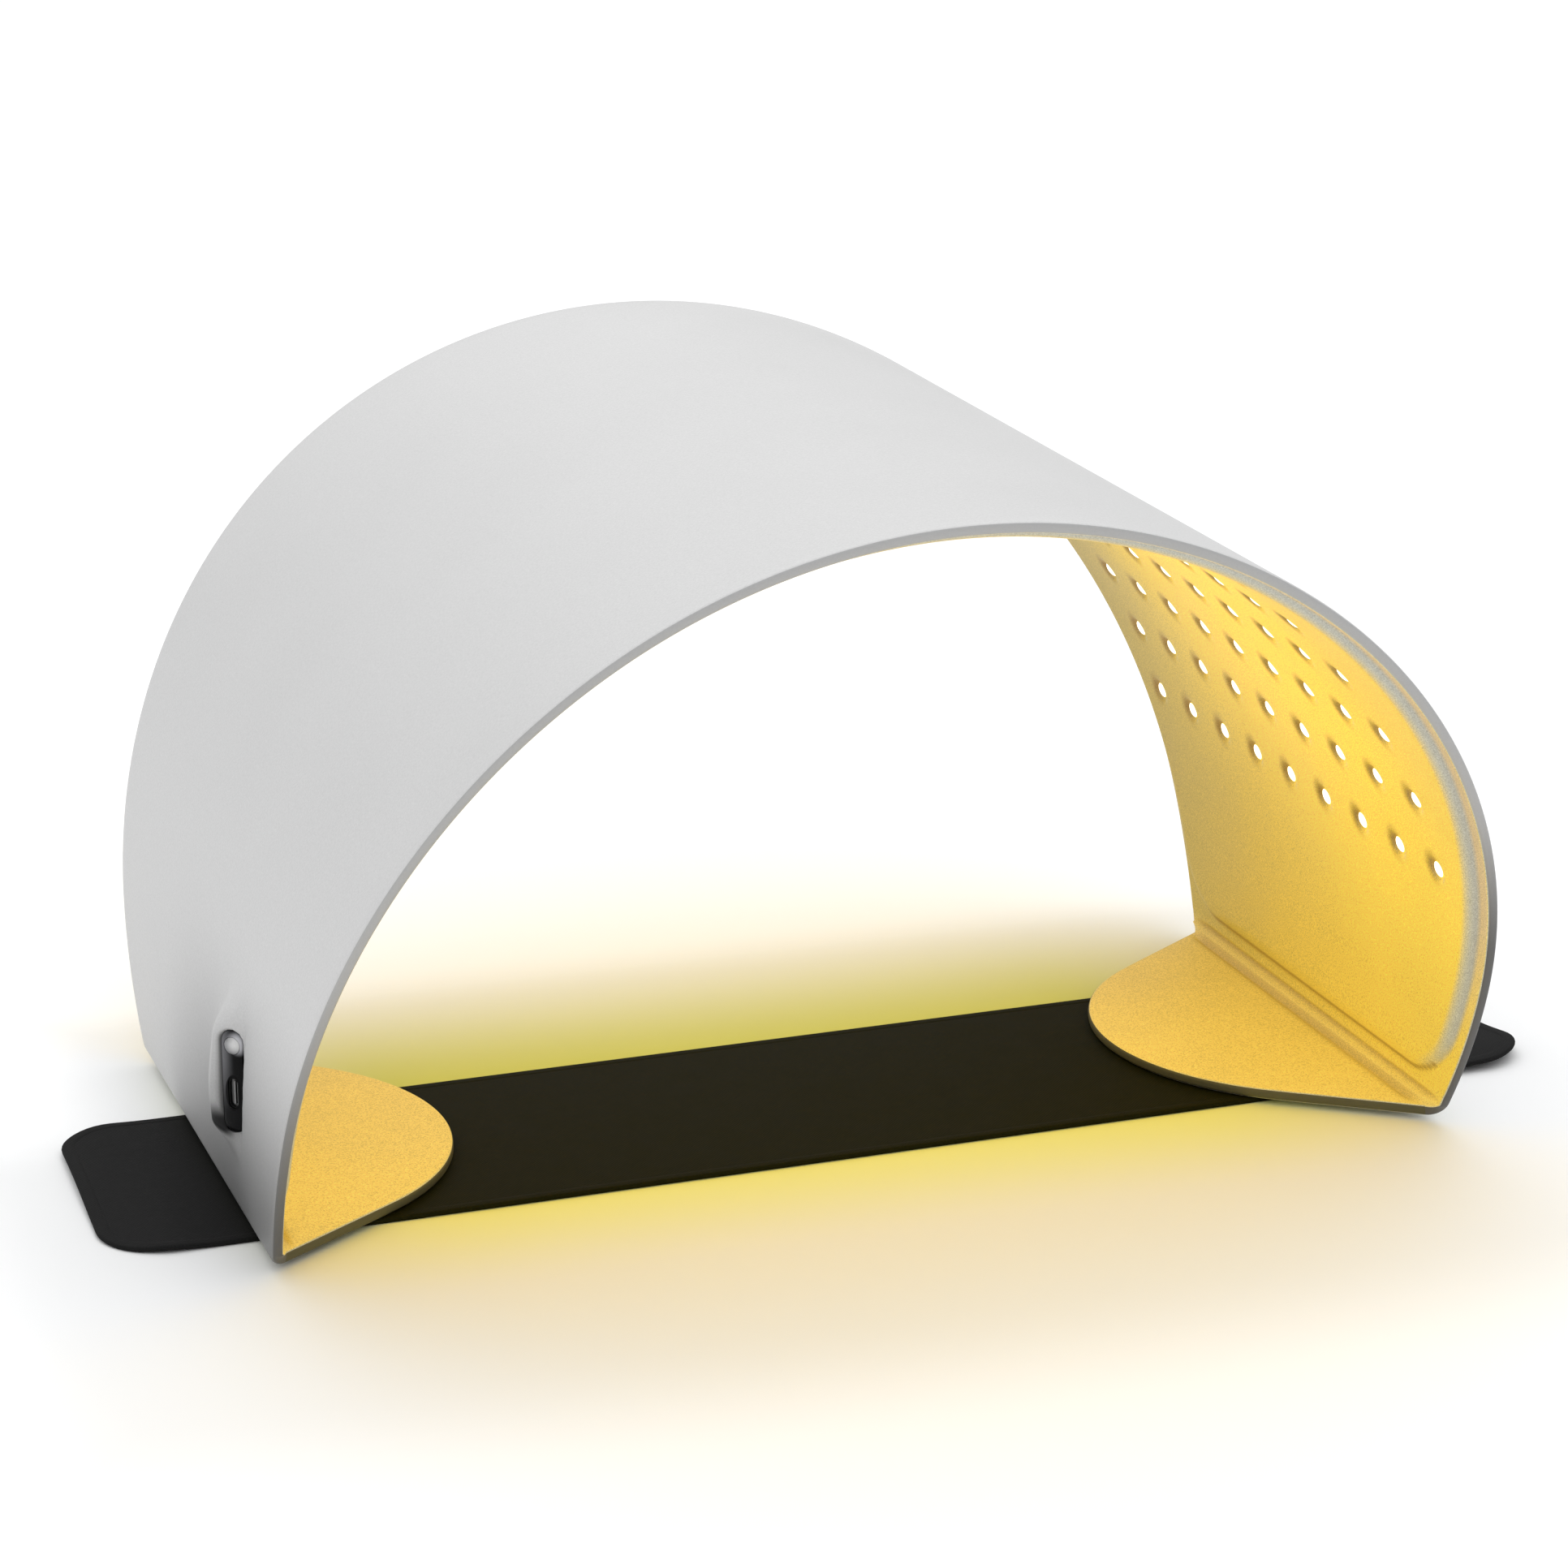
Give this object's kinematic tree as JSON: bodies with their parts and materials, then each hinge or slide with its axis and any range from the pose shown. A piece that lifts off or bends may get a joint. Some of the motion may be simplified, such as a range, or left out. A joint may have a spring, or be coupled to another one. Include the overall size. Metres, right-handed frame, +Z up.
{
  "type": "led light therapy panel",
  "caption": "Flexible silicone arch with rows of small LEDs on a raised inner pad, two fold-in feet, a flat strap under them and a USB-C port with a push button.",
  "frame": {"origin": "on the surface that the panel stands on, at the strap's underside, under the middle of the crown", "axes": "+X across the span, from the port's wall to the other wall; -Y towards the front; +Z up"},
  "size_m": [0.453, 0.3216, 0.2167],
  "materials": {
    "light_silicone": "matte, fine grain",
    "bare_aluminium": "rolled",
    "grey_foam": "open cell",
    "flex_board": "satin polyimide",
    "led_package": "satin",
    "clear_window": "clear silicone",
    "gloss_black": "gloss",
    "black_rubber": "matte",
    "socket_metal": "satin",
    "black_plastic": "satin",
    "battery_pouch": "laminated foil",
    "green_board": "solder mask",
    "stiffener_board": "satin",
    "hook_tape": "hook pile",
    "charcoal_fabric": "fine weave",
    "charcoal_binding": "bound edge"
  },
  "bodies": {
    "panel": {"outer_cover": "light_silicone", "inner_face": "light_silicone", "shape_sheet": "bare_aluminium", "foam_spacer": "grey_foam", "led_flex_board": "flex_board", "led_emitters": "led_package", "bay_foam": "grey_foam", "port_bezel": "gloss_black", "port_seal": "black_rubber", "usb_c_shell": "socket_metal", "usb_c_tongue": "black_plastic", "button_switch": "black_plastic", "battery_cell": "battery_pouch", "battery_wrap": "grey_foam", "driver_board": "green_board", "driver_chips": "black_plastic", "flex_tail": "flex_board", "port_tail": "flex_board", "led_window_row_01": "clear_window", "led_window_row_02": "clear_window", "led_window_row_03": "clear_window", "led_window_row_04": "clear_window", "led_window_row_05": "clear_window", "led_window_row_06": "clear_window", "led_window_row_07": "clear_window", "led_window_row_08": "clear_window", "led_window_row_09": "clear_window", "led_window_row_10": "clear_window", "led_window_row_11": "clear_window", "led_window_row_12": "clear_window", "led_window_row_13": "clear_window", "led_window_row_14": "clear_window", "led_window_row_15": "clear_window", "led_window_row_16": "clear_window", "led_window_row_17": "clear_window", "led_window_row_18": "clear_window", "led_window_row_19": "clear_window", "led_window_row_20": "clear_window"},
    "power_button": {"button_cap": "gloss_black"},
    "left_flap": {"left_flap_face": "light_silicone", "left_flap_cover": "light_silicone", "left_flap_stiffener": "stiffener_board", "left_hook_patch": "hook_tape"},
    "right_flap": {"right_flap_face": "light_silicone", "right_flap_cover": "light_silicone", "right_flap_stiffener": "stiffener_board", "right_hook_patch": "hook_tape"},
    "strap": {"strap_binding": "charcoal_binding", "strap_band": "charcoal_fabric", "strap_loop_face": "charcoal_fabric"}
  },
  "joints": [
    {"name": "left_flap_fold", "type": "hinge", "parent": "panel", "child": "left_flap", "pos_m": [-0.1767, 0, 0.0052], "axis": [0, -1, 0], "range_deg": [0, 70]},
    {"name": "right_flap_fold", "type": "hinge", "parent": "panel", "child": "right_flap", "pos_m": [0.1767, 0, 0.0052], "axis": [0, 1, 0], "range_deg": [0, 70]},
    {"name": "strap_release", "type": "slide", "parent": "panel", "child": "strap", "axis": [0, 0, -1], "range_m": [0, 0.06]},
    {"name": "power_button_press", "type": "slide", "parent": "panel", "child": "power_button", "axis": [0.7071, 0.7071, 0], "range_m": [0, 0.0005], "stiffness_N_per_m": 900}
  ]
}
